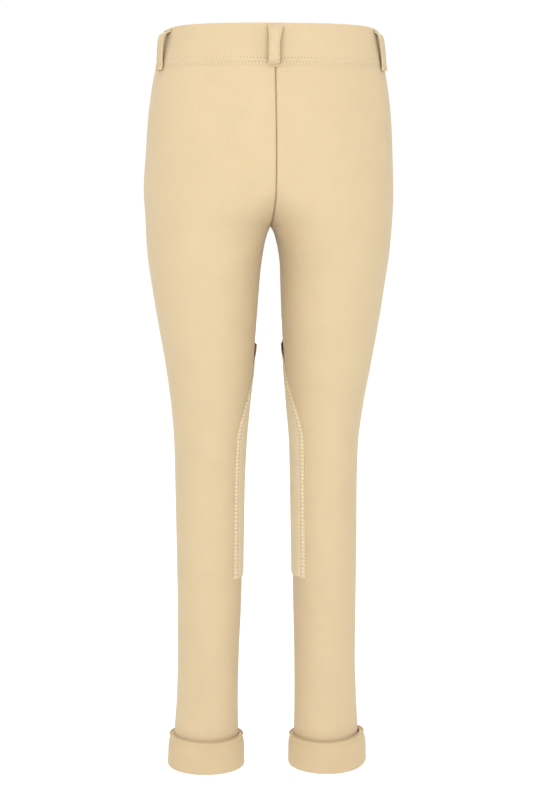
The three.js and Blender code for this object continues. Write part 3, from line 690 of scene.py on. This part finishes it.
loop_threads = []
loop_holes = []
for shape in LOOPS:
    v = np.linspace(0, 1, LOOP_STEPS)
    line, across, away = loop_frame(shape, v)
    scallop = 1 + 0.035 * np.cos(2 * np.pi * v * 53 * MM / EDGE_STITCH_PITCH)
    scallop = scallop - shape["slim"] + shape["flare"] * (1 - smooth(v / 0.45))
    u, up = loop_section(scallop[:, None] * LOOP_WIDTH / 2)
    foot = smooth((v - 1 + 1.6 * LOOP_SEATED) / (0.3 * LOOP_SEATED))
    thick = LOOP_CLOTH * (1 + (LOOP_FOLD - 1) * foot) if shape["turn"] else LOOP_CLOTH * (1 - 0.4 * foot)
    thick = thick * (0.45 + 0.55 * smooth(v / 0.16))
    crown = 0.25 * MM * (1 - (u / (LOOP_WIDTH / 2)) ** 2)
    grid = (
        line[:, None]
        + across * u[..., None]
        + away[:, None] * (up * thick[:, None] + crown * up)[..., None]
    )
    run = np.concatenate([[0], np.cumsum(np.linalg.norm(np.diff(line, axis=0), axis=-1))])[:, None]
    loop = add_strip(f"belt_loop_{shape['name']}", grid, np.zeros_like(run), np.zeros_like(u), twill, "twill",
                     [f"loop_{shape['name']}"])
    layer = loop.data.uv_layers["cloth"]
    corners = np.empty(len(loop.data.loops), dtype=np.int32)
    loop.data.loops.foreach_get("vertex_index", corners)
    strip_uv = np.stack([u, np.broadcast_to(-run, u.shape)], axis=-1).reshape(-1, 2)
    layer.uv.foreach_set("vector", strip_uv[corners].astype(np.float32).ravel())
    length = run[-1, 0]
    count = int(length / EDGE_STITCH_PITCH)
    spots = np.interp(np.linspace(0.02, 0.97, count) * length, run[:, 0], v)
    for edge in (-1, 1):
        middle, _, ups = loop_frame(shape, spots)
        offset = edge * (LOOP_WIDTH / 2 - 2.1 * MM)
        lift = np.interp(spots, v, thick) + crown.max() * (1 - (offset / (LOOP_WIDTH / 2)) ** 2)
        threads, holes = row_meshes(middle + across * offset + ups * lift[:, None], ups, 0.3 * MM, 0.2 * MM, 0.22 * MM)
        loop_threads.append(threads)
        loop_holes.append(holes)
    for tack_v in (0.035, 0.955) if shape["turn"] else (0.035,):
        spot = np.full(9, tack_v)
        middle, _, ups = loop_frame(shape, spot)
        offsets = np.linspace(-0.4, 0.4, 9) * LOOP_WIDTH
        lift = np.interp(tack_v, v, thick) + 0.2 * MM
        places = middle + across * offsets[:, None] + ups * lift
        threads, holes = row_meshes(places, ups, 0.15 * MM, 0.34 * MM, 0.3 * MM)
        loop_threads.append(threads)
        loop_holes.append(holes)
add_piece("belt_loop_stitches", *join_meshes(*loop_threads), thread, "twill")
add_piece("belt_loop_needle_holes", *join_meshes(*loop_holes), needle_hole_shade, "twill")

# Fly flap: a J-shaped layer of twill over the top of the centre front seam. It hides the fastening, and two rows of
# stitches follow its curved edge.
FLY_WIDTH_X = 34 * MM
FLY_BOTTOM = -150 * MM
FLY_CURVE = 34 * MM
FLY_TIP = 4 * MM
FLY_CLEAR = 0.4 * MM


def fly_width(z):
    """Width of the flap from the lap's end to its edge at height z: a quarter of an ellipse, then straight."""
    curve = np.clip((z - FLY_BOTTOM) / FLY_CURVE, 0, 1)
    return FLY_TIP + (FLY_WIDTH_X - LAP_END_X - FLY_TIP) * np.sqrt(1 - (1 - curve) ** 2)


def fly_points(share, z, out):
    """Points of the flap, at a share of its width, moved out from the front panels."""
    x = LAP_END_X + fly_width(z) * share
    width = np.where(x < 0, section_value("left_outer", z), section_value("right_outer", z))
    turn = 180 - np.degrees(np.arcsin(power(x / width, 1 / HIP_ROUNDNESS)))
    return waist_points(turn, z, out)


fly_top = BAND_SEAM - SEAM_GAP
fly_z = (FLY_BOTTOM + (fly_top - FLY_BOTTOM) * np.linspace(0, 1, 70) ** 1.5)[:, None]
fly_share = np.linspace(0, 1, 26)[None, :]
fly_edge = np.minimum(np.minimum(fly_share, 1 - fly_share) * fly_width(fly_z), fly_z - FLY_BOTTOM)
fly_out = FLY_CLEAR + CLOTH - 0.5 * MM * np.exp(-((fly_edge / (1.2 * MM)) ** 2))
fly_outer = fly_points(fly_share, fly_z, fly_out)
fly_inner = fly_points(fly_share, fly_z, FLY_CLEAR)
fly_uv = np.stack([fly_outer[..., 0], fly_outer[..., 2]], axis=-1)
fly = add_wall("fly_flap_cloth", fly_outer, fly_inner, fly_uv, twill, "twill", ["fly_flap"])
fly_threads = []
fly_holes = []
for inset in (3 * MM, 9 * MM):
    z = np.linspace(fly_top - 1 * MM, FLY_BOTTOM + inset + 0.5 * MM, 200)
    share = 1 - inset / np.maximum(fly_width(z - inset * 0.4), inset)
    line = fly_points(np.clip(share, 0.06, 1), z, np.full(200, FLY_CLEAR + CLOTH))
    run = arc_lengths(line[None])[0]
    spots = np.interp(np.arange(0, run[-1], 3.6 * MM), run, z)
    share = np.clip(1 - inset / np.maximum(fly_width(spots - inset * 0.4), inset), 0.06, 1)
    places = fly_points(share, spots, np.full(len(spots), FLY_CLEAR + CLOTH))
    ups = fly_points(share, spots, np.full(len(spots), FLY_CLEAR + CLOTH + MM)) - places
    threads, holes = row_meshes(places, ups / MM, 0.3 * MM)
    fly_threads.append(threads)
    fly_holes.append(holes)
add_piece("fly_stitches", *join_meshes(*fly_threads), thread, "twill")
add_piece("fly_needle_holes", *join_meshes(*fly_holes), needle_hole_shade, "twill")

# Waist button: a dished resin button with four holes on the upper end of the waistband, sewn on with a cross of
# thread.
BUTTON_RADIUS = 8.5 * MM
BUTTON_THICK = 2.4 * MM
BUTTON_X = 9 * MM
BUTTON_CLEAR = 0.6 * MM
BUTTON_HOLE_RADIUS = 0.9 * MM
BUTTON_HOLE_PITCH = 1.7 * MM
button_turn = front_turn(BUTTON_X)


def button_frame(turn):
    """The middle of the button's seat on the band, and the directions across, up and out."""
    t = np.array([turn])
    lift = BAND_PROUD + lap_lift(t)
    seat = waist_points(t, np.zeros(1), lift)[0]
    up = waist_points(t, np.full(1, 8 * MM), lift)[0] - seat
    up = up / np.linalg.norm(up)
    out = waist_points(t, np.zeros(1), 50 * MM)[0] - waist_points(t, np.zeros(1), 0)[0]
    across = np.cross(up, out / np.linalg.norm(out))
    across = across / np.linalg.norm(across)
    return seat, across, up, np.cross(across, up)


def button_grid(turn):
    """A closed button: rings of points from the middle of its face over the rim to the middle of its back. The face
    is dished, and each of the four holes is a steep dip."""
    seat, across, up, out = button_frame(turn)
    face = np.linspace(0.02, 0.9, 26)
    rim = np.linspace(0, np.pi, 9)
    radii = np.concatenate([face, 0.9 + 0.1 * np.sin(rim), face[::-1]])
    heights = np.concatenate([0.72 + 0.28 * smooth((face - 0.55) / 0.3), 0.5 + 0.5 * np.cos(rim), 0 * face])
    angle = np.linspace(0, 2 * np.pi, 72, endpoint=False)
    x = BUTTON_RADIUS * radii[:, None] * np.cos(angle)
    y = BUTTON_RADIUS * radii[:, None] * np.sin(angle)
    near = np.hypot(np.abs(x) - BUTTON_HOLE_PITCH, np.abs(y) - BUTTON_HOLE_PITCH) / BUTTON_HOLE_RADIUS
    dip = np.where(np.arange(len(radii))[:, None] < 26, np.exp(-(near**6)), 0)
    height = BUTTON_THICK * (heights[:, None] - 0.6 * dip)
    return seat + across * x[..., None] + up * y[..., None] + out * (BUTTON_CLEAR + height)[..., None]


def resin_material(name, colour):
    """Horn-coloured resin: soft bands of two browns and a satin polish."""
    material = bpy.data.materials.new(name)
    material.use_nodes = True
    tree = material.node_tree
    shader = tree.nodes["Principled BSDF"]
    place = tree.nodes.new("ShaderNodeTexCoord")
    bands = tree.nodes.new("ShaderNodeTexWave")
    bands.inputs["Scale"].default_value = 60
    bands.inputs["Distortion"].default_value = 6
    bands.inputs["Detail"].default_value = 3
    tree.links.new(place.outputs["Object"], bands.inputs["Vector"])
    blend = tree.nodes.new("ShaderNodeMix")
    blend.data_type = "RGBA"
    tree.links.new(bands.outputs["Fac"], blend.inputs["Factor"])
    blend.inputs["A"].default_value = linear_colour(colour, 0.8)
    blend.inputs["B"].default_value = linear_colour(colour, 1.15)
    tree.links.new(blend.outputs["Result"], shader.inputs["Base Color"])
    shader.inputs["Roughness"].default_value = 0.32
    shader.inputs["Coat Weight"].default_value = 0.15
    return material


grid = button_grid(button_turn)
rows, columns = grid.shape[:2]
button_points = grid.reshape(-1, 3)
button_faces = facing_out(button_points, tube_faces(rows, columns))
button = add_piece("waist_button_disc", button_points, button_faces, resin_material("horn_resin", 0xC4A676), "button",
                   replaces=["waist_button"], sharp=60)
seat, across, up, out = button_frame(button_turn)
holes_at = BUTTON_HOLE_PITCH * np.array([(-1, -1), (1, -1), (1, 1), (-1, 1)])
corners = seat + across * holes_at[:, :1] + up * holes_at[:, 1:] + out * (BUTTON_CLEAR + 0.66 * BUTTON_THICK)
pairs = [(0, 2), (1, 3), (0, 2), (1, 3)]
shifts = np.array([-0.25, -0.25, 0.25, 0.25])[:, None] * MM
starts = np.array([corners[a] for a, _ in pairs]) + across * shifts
ends = np.array([corners[b] for _, b in pairs]) + across * shifts
ups = np.tile(out, (4, 1))
cross = stitch_mesh(starts, ends, ups, 0.32 * MM, 0.8 * MM)
add_piece("waist_button_thread", *cross, thread, "twill")

# Buttonhole: a level slit in the upper end of the waistband behind the button, bound all round with dense satin
# stitches.
HOLE_HALF = 10 * MM
slot_steps = np.linspace(0, 2 * np.pi, 84, endpoint=False)
slot_x = BUTTON_X + 2 * MM + HOLE_HALF * power(np.cos(slot_steps), 0.5)
slot_z = 1.3 * MM * power(np.sin(slot_steps), 0.5)


def lap_points(x, z, lift):
    """Points on the outside of the lapped end of the band, at x and z, moved out."""
    width = np.where(x < 0, section_value("left_outer", z), section_value("right_outer", z))
    turn = 180 - np.degrees(np.arcsin(power(x / width, 1 / HIP_ROUNDNESS)))
    return waist_points(turn, z, BAND_PROUD + lap_lift(turn) + lift)


inside = lap_points(slot_x - 0.4 * MM * np.cos(slot_steps), slot_z * 0.3, 0.05 * MM)
outside = lap_points(slot_x + 0.9 * MM * np.cos(slot_steps), slot_z * 1.5, 0.05 * MM)
slot_ups = lap_points(slot_x, slot_z, MM) - lap_points(slot_x, slot_z, 0)
satin = stitch_mesh(inside, outside, slot_ups / MM, 0.3 * MM, 0.2 * MM)
add_piece("buttonhole_stitches", *satin, thread, "twill")

# Knee patches: a second layer of twill on the inner leg, where it meets the saddle. Its back and front edges are held
# by a wide stitch of short cross bars that draws the cloth into small puffs, and its top corner stands off the leg.
PATCH_CLOTH = 1.4 * MM
PATCH_CLEAR = 0.65 * MM
PATCH_TOP = -380 * MM
PATCH_FRONT_RISE = 30 * MM
PATCH_BOTTOM = -682 * MM
PATCH_BACK_ANGLE = 46
PATCH_FRONT_ANGLE = -64
PATCH_CURVE = 125 * MM
BAR_PITCH = 4.9 * MM
BAR_WIDTH = 5.4 * MM


def leg_points(side, angle, z, out):
    """Points round a leg at angles in degrees from the inseam, positive to the back, moved out along the level
    normal."""
    centre, width, middle, back_depth, _ = ring_at(side, -1, z)
    front_depth = ring_at(side, 1, z)[3]
    half = np.where(angle > 0, -1.0, 1.0)
    depth = np.where(angle > 0, back_depth, front_depth)
    a = np.radians(np.abs(angle))
    nx = -side * np.cos(a) / width
    ny = half * np.sin(a) / depth
    size = np.hypot(nx, ny)
    x = side * (centre - width * np.cos(a)) + out * nx / size
    y = middle + half * depth * np.sin(a) + out * ny / size
    return np.stack(np.broadcast_arrays(x, y, z), axis=-1)


def patch_place(across, down):
    """The angle and the height at shares across the patch from its back edge and down from its top edge."""
    top = PATCH_TOP + PATCH_FRONT_RISE * smooth(across)
    z = top + (PATCH_BOTTOM - top) * down
    level = PATCH_TOP + (PATCH_BOTTOM - PATCH_TOP) * down
    back = PATCH_BACK_ANGLE * smooth((PATCH_TOP - level) / PATCH_CURVE)
    return back + (PATCH_FRONT_ANGLE - back) * across, z


def patch_out(across, down, width, length):
    """How far the patch's outside stands off the leg: its edges roll down, the wide stitch presses a channel beside
    each side edge and puffs the cloth between its bars, and the top corner stands proud."""
    to_back = across * width
    to_front = (1 - across) * width
    to_side = np.minimum(to_back, to_front)
    to_end = np.minimum(down, 1 - down) * length
    to_edge = np.minimum(to_side, to_end)
    loose = np.exp(-((down * length / (17 * MM)) ** 4)) * np.exp(-((across / 0.16) ** 2))
    rolled = (1 - loose) * (1 - 0.75 * smooth(1 - (1 - down) * length / (2.5 * MM)))
    lift = PATCH_CLEAR + PATCH_CLOTH - 1.5 * MM * np.exp(-((to_edge / (1.5 * MM)) ** 2)) * rolled
    stitched = smooth((down * length - 22 * MM) / (10 * MM)) * smooth((to_end - 1 * MM) / (2 * MM))
    puff = 0.5 + 0.5 * np.cos(2 * np.pi * down * length / BAR_PITCH)
    in_band = np.exp(-(((to_side - 3.3 * MM) / (2.6 * MM)) ** 4))
    lift = lift + stitched * in_band * (1.15 * puff - 0.6) * MM
    lift = lift - stitched * 0.4 * MM * np.exp(-(((to_side - 6.6 * MM) / (1.1 * MM)) ** 2))
    return lift + 1.1 * MM * loose


patch_twill = twill_material("knee_patch_twill", 0xCABA9B, 0.11 * MM, 0.11)
# A darker copy of the patch twill: painted shade under the top corner, where it stands off the leg.
patch_corner_shade = twill_material("knee_patch_corner_shade", 0x9A7A60, 0.11 * MM, 0.11)
# Brown for the holes at the bar ends: painted shade in each hole.
bar_hole_shade = thread_material("bar_hole_shadow", 0xA78052, 0.9)
for side, side_name in ((-1, "left"), (1, "right")):
    edge_steps = np.array([0, 0.4, 0.8, 1.3, 1.9, 2.6, 3.3, 4.1, 4.9, 5.6, 6.2, 6.8, 7.6, 8.8]) / 100
    across = np.concatenate([edge_steps, np.linspace(0.105, 0.895, 22), 1 - edge_steps[::-1]])[None, :]
    down = np.concatenate([[0, 0.0012, 0.0026, 0.0042], np.linspace(0.006, 0.994, 430), [0.9958, 0.9974, 0.9988, 1]])
    down = down[:, None]
    angle, z = patch_place(across, down)
    base = leg_points(side, angle, z, PATCH_CLEAR)
    arc = arc_lengths(base)
    lengths = PATCH_TOP + PATCH_FRONT_RISE * smooth(across) - PATCH_BOTTOM
    out = patch_out(across, down, arc[:, -1:], lengths)
    outer = leg_points(side, angle, z, out)
    inner = leg_points(side, angle, z, np.maximum(out - PATCH_CLOTH, 0.12 * MM))
    uv = np.stack([arc - arc[:, -1:] / 2, z], axis=-1)
    patch = add_wall(f"knee_patch_{side_name}_cloth", outer, inner, uv, patch_twill, "knee_patch",
                     [f"knee_patch_{side_name}"])
    # The underside and cut edges within 26 mm of the top take the darker twill as painted shade.
    patch.data.materials.append(patch_corner_shade)
    middles = np.empty(3 * len(patch.data.polygons))
    patch.data.polygons.foreach_get("center", middles)
    corner_shade_faces = np.arange(len(patch.data.polygons)) >= (outer.shape[0] - 1) * (outer.shape[1] - 1)
    corner_shade_faces &= middles[2::3] > PATCH_TOP - 26 * MM
    patch.data.polygons.foreach_set("material_index", corner_shade_faces.astype(np.int32))
    width_at = arc[:, -1]
    bars = []
    bar_holes = []
    for edge in (0, 1):
        length = lengths[0, 0 if edge == 0 else -1]
        bar_down = (np.arange(int(30 * MM / BAR_PITCH), int((length - 2 * MM) / BAR_PITCH)) + 0.5) * BAR_PITCH / length
        row_width = np.interp(bar_down, down[:, 0], width_at)
        ends = []
        ups = []
        for inset in (0.9 * MM, BAR_WIDTH + 0.9 * MM):
            share = inset / row_width if edge == 0 else 1 - inset / row_width
            bar_angle, bar_z = patch_place(share, bar_down)
            out = patch_out(share, bar_down, row_width, length)
            ends.append(leg_points(side, bar_angle, bar_z, out))
            ups.append(leg_points(side, bar_angle, bar_z, out + MM) - ends[-1])
        ups = (ups[0] + ups[1]) / (2 * MM)
        bars.append(stitch_mesh(ends[0], ends[1], ups, 0.75 * MM, 0.7 * MM))
        alongs = ends[1] - ends[0]
        alongs /= np.linalg.norm(alongs, axis=-1, keepdims=True)
        for end in ends:
            bar_holes.append(hole_mesh(end + ups * 0.4 * MM, ups, alongs, 0.75 * MM))
    add_piece(f"knee_patch_{side_name}_bars", *join_meshes(*bars), thread, "knee_patch")
    add_piece(f"knee_patch_{side_name}_needle_holes", *join_meshes(*bar_holes), bar_hole_shade, "knee_patch")

# Turn-ups: each leg ends in a hem that is turned outwards and up once. The cloth folds round below, comes up outside
# the leg with a soft hollow in it, and ends in a rolled rim. The right one stands higher at its outside.
TURN_UPS = [
    {"side": -1, "name": "left", "stand_off": 6.9, "lean": 0, "rim": -896, "outer_rise": 1, "fold_rise": 0.5, "fold": 4},
    {"side": 1, "name": "right", "stand_off": 8, "lean": 1.8, "rim": -899, "outer_rise": 4.5, "fold_rise": 4, "fold": 6},
]
# The section out from the leg: out is a share of the stand-off, up a share of the turn-up's height, fold a share of
# its fold's depth, and thick is in millimetres. The rim is rolled.
TURN_UP_SECTION = np.array(
    [
        (0, 0, 0, 1.6),
        (0.04, 0, 0.57, 1.6),
        (0.28, 0, 1, 1.6),
        (0.68, 0, 1, 1.7),
        (0.97, 0, 0.5, 1.8),
        (1, 0.1, 0, 1.8),
        (0.99, 0.46, 0, 1.8),
        (0.92, 0.7, 0, 1.9),
        (0.71, 0.84, 0, 2.4),
        (0.57, 0.925, 0, 6.4),
        (0.57, 0.965, 0, 5.4),
    ]
)


def spline_rows(table, count):
    """A table's rows made finer: a cubic through them whose slope at a row is half the step between its neighbours."""
    index = np.linspace(0, len(table) - 1, count)
    i = np.clip(index.astype(int), 0, len(table) - 2)
    s = (index - i)[:, None]
    padded = np.concatenate([[2 * table[0] - table[1]], table, [2 * table[-1] - table[-2]]])
    slope_in = (padded[i + 2] - padded[i]) / 2
    slope_out = (padded[i + 3] - padded[i + 1]) / 2
    return (
        (2 * s**3 - 3 * s**2 + 1) * table[i]
        + (s**3 - 2 * s**2 + s) * slope_in
        + (3 * s**2 - 2 * s**3) * table[i + 1]
        + (s**3 - s**2) * slope_out
    )


def turn_up_grid(cuff):
    """Closed sections round the leg: the fine section's middle line is moved both ways by half the cloth, with a
    rounded end at the rim. The stand-off and the rim swell and dip gently round the leg."""
    columns = 150
    angle = (-180 + 360 * (np.arange(columns) + 0.5) / columns)[:, None]
    outward = -np.cos(np.radians(angle))
    rise = np.clip(outward, 0, 1) ** 2
    out_share, up_share, fold, thick = spline_rows(TURN_UP_SECTION, 66).T
    swell = 0.35 * np.sin(np.radians(2 * angle + 40 * cuff["side"])) + 0.25 * np.sin(np.radians(5 * angle + 70))
    reach = (cuff["stand_off"] + cuff["lean"] * outward + swell * up_share) * MM + CLOTH / 2
    dip = 0.35 * np.sin(np.radians(3 * angle + 25))
    rim = (cuff["rim"] + cuff["outer_rise"] * rise + dip) * MM
    out = reach * out_share - CLOTH / 2
    z = HEM - cuff["fold"] * fold * MM + cuff["fold_rise"] * MM * rise * out_share**2 * (1 - up_share) + (rim - HEM) * up_share
    along_out = np.gradient(out, axis=1)
    along_z = np.gradient(z, axis=1)
    length = np.hypot(along_out, along_z)
    normal_out = -along_z / length
    normal_z = along_out / length
    half = thick * MM / 2
    ends = np.linspace(0, np.pi, 9)[1:-1]
    tip_out = out[:, -1:] + half[-1] * (normal_out[:, -1:] * np.cos(ends) - normal_z[:, -1:] * -np.sin(ends) * 0.9)
    tip_z = z[:, -1:] + half[-1] * (normal_z[:, -1:] * np.cos(ends) + normal_out[:, -1:] * -np.sin(ends) * -0.9)
    outs = np.concatenate([out + half * normal_out, tip_out, (out - half * normal_out)[:, ::-1]], axis=1)
    zs = np.concatenate([z + half * normal_z, tip_z, (z - half * normal_z)[:, ::-1]], axis=1)
    grid = leg_points(cuff["side"], np.broadcast_to(angle, outs.shape), np.maximum(zs, HEM), outs)
    grid[..., 2] = zs
    run = arc_lengths(leg_points(cuff["side"], angle.T, np.full((1, columns), HEM), 8 * MM))[0][:, None]
    middle = np.concatenate([np.zeros((1, 1)), np.cumsum(np.hypot(np.diff(out[:1]), np.diff(z[:1])), axis=1)], axis=1)
    section = np.concatenate([middle, middle[:, -1:] + 0 * tip_out[:1], middle[:, ::-1]], axis=1)
    return grid, run, np.broadcast_to(section, outs.shape)


turn_up_twill = twill_material("turn_up_twill", 0xBBA684, 0.11 * MM, 0.11)
for cuff in TURN_UPS:
    grid, run, section = turn_up_grid(cuff)
    columns, outline = grid.shape[:2]
    index = np.arange(columns * outline).reshape(columns, outline)
    following = np.roll(index, -1, axis=0)
    beside = np.roll(index, -1, axis=1)
    faces = np.stack([index, following, np.roll(following, -1, axis=1), beside], axis=-1).reshape(-1, 4)
    points = grid.reshape(-1, 3)
    uv = np.stack([np.broadcast_to(run, section.shape), section], axis=-1).reshape(-1, 2)
    turn_up = add_piece(f"turn_up_{cuff['name']}_cloth", points, facing_out(points, faces), turn_up_twill, "twill", uv,
                        [f"turn_up_{cuff['name']}"])

# Studio: a pale floor well under the hems, a white surround, soft boxes behind the wearer on the left and on the
# right, and far lights from the front and from above. The camera stands behind the wearer, a little to the left, and looks slightly down.
FLOOR_Z = -1.4
FLOOR_REACH = 14.0
floor_corners = [
    (-FLOOR_REACH, -FLOOR_REACH, FLOOR_Z),
    (FLOOR_REACH, -FLOOR_REACH, FLOOR_Z),
    (FLOOR_REACH, FLOOR_REACH, FLOOR_Z),
    (-FLOOR_REACH, FLOOR_REACH, FLOOR_Z),
]
floor_mesh = bpy.data.meshes.new("floor")
floor_mesh.from_pydata(floor_corners, [], [(0, 1, 2, 3)])
floor_paint = bpy.data.materials.new("floor_paint")
floor_paint.use_nodes = True
paint = floor_paint.node_tree.nodes["Principled BSDF"]
paint.inputs["Base Color"].default_value = (0.93, 0.93, 0.93, 1)
paint.inputs["Roughness"].default_value = 0.9
paint.inputs["Specular IOR Level"].default_value = 0
floor_mesh.materials.append(floor_paint)
floor = bpy.data.objects.new("floor", floor_mesh)
bpy.context.scene.collection.objects.link(floor)

world = bpy.data.worlds.new("white_surround")
world.use_nodes = True
world.node_tree.nodes["Background"].inputs["Color"].default_value = (1, 1, 1, 1)
world.node_tree.nodes["Background"].inputs["Strength"].default_value = 1.02
bpy.context.scene.world = world


def add_far_light(name, azimuth, elevation, spread, strength):
    """A far light of a given spread in degrees, that shines from an azimuth (0 behind the wearer, turning to the
    wearer's right) and an elevation in degrees towards the garment."""
    data = bpy.data.lights.new(name, "SUN")
    data.angle = math.radians(spread)
    data.energy = strength
    light = bpy.data.objects.new(name, data)
    light.rotation_euler = (math.radians(90 - elevation), 0, math.radians(azimuth))
    bpy.context.scene.collection.objects.link(light)


def add_soft_box(name, place, target, size, watts):
    """A square light at a place, turned to face a target."""
    data = bpy.data.lights.new(name, "AREA")
    data.size = size
    data.energy = watts
    light = bpy.data.objects.new(name, data)
    aim = np.array(target) - np.array(place)
    light.location = place
    light.rotation_euler = (math.acos(-aim[2] / np.linalg.norm(aim)), 0, math.atan2(aim[1], aim[0]) - math.pi / 2)
    light.visible_camera = False
    bpy.context.scene.collection.objects.link(light)


add_soft_box("key_light", (-0.8, -2.05, 0.55), (0, 0, -0.3), 0.7, 18)
add_soft_box("fill_light", (0.65, -2.15, 0.5), (0, 0, -0.3), 0.7, 12)
add_far_light("front_light", 172, 38, 25, 1.0)
add_far_light("top_light", 0, 88, 20, 0.45)

CAMERA_DISTANCE = 2.6
CAMERA_YAW = 4.3
CAMERA_PITCH = 6.6527
camera_data = bpy.data.cameras.new("camera")
camera_data.lens = 90
camera_data.sensor_width = 36
camera = bpy.data.objects.new("camera", camera_data)
camera.location = (
    -0.003 - CAMERA_DISTANCE * math.sin(math.radians(CAMERA_YAW)),
    -CAMERA_DISTANCE * math.cos(math.radians(CAMERA_YAW)),
    -0.15,
)
camera.rotation_euler = (math.radians(90 - CAMERA_PITCH), 0, math.radians(-CAMERA_YAW))
bpy.context.scene.collection.objects.link(camera)
bpy.context.scene.camera = camera
bpy.context.scene.view_settings.view_transform = "Standard"
